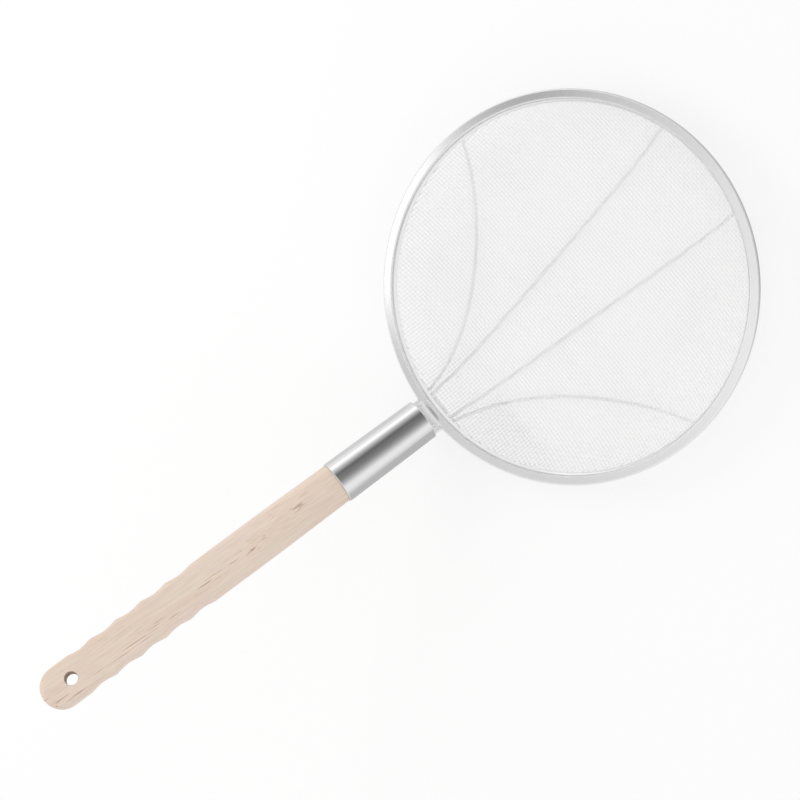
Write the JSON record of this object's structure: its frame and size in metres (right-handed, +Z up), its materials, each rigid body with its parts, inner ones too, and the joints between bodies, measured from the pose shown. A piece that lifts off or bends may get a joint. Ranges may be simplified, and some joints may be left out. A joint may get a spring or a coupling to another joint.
{
  "type": "mesh strainer",
  "caption": "Round strainer: a shallow wire-mesh dish in a rolled steel rim, fanned support wires, a tapered steel ferrule and a raised wooden handle with finger grooves and a hanging hole.",
  "frame": {"origin": "on the table under the middle of the strainer's box, at the lowest line of the support wires", "axes": "+X away from the handle along the strainer's length, +Z up and square to the rim's plane, +Y to the left"},
  "size_m": [0.5356, 0.26, 0.1947],
  "materials": {
    "rim_steel": "smooth rolled stainless strip",
    "mesh_steel": "bright drawn stainless wire cloth",
    "wire_steel": "drawn stainless wire",
    "ferrule_steel": "polished stainless tube",
    "handle_wood": "pale sanded wood with fine darker streaks along the grain"
  },
  "bodies": {
    "root": {"rim_band": "rim_steel", "rim_core_wire": "wire_steel", "mesh_bowl": "mesh_steel", "support_wire_outer_left": "wire_steel", "support_wire_inner_left": "wire_steel", "support_wire_inner_right": "wire_steel", "support_wire_outer_right": "wire_steel", "neck_plate": "rim_steel", "ferrule": "ferrule_steel", "ferrule_nail": "wire_steel", "handle": "handle_wood"}
  },
  "joints": []
}
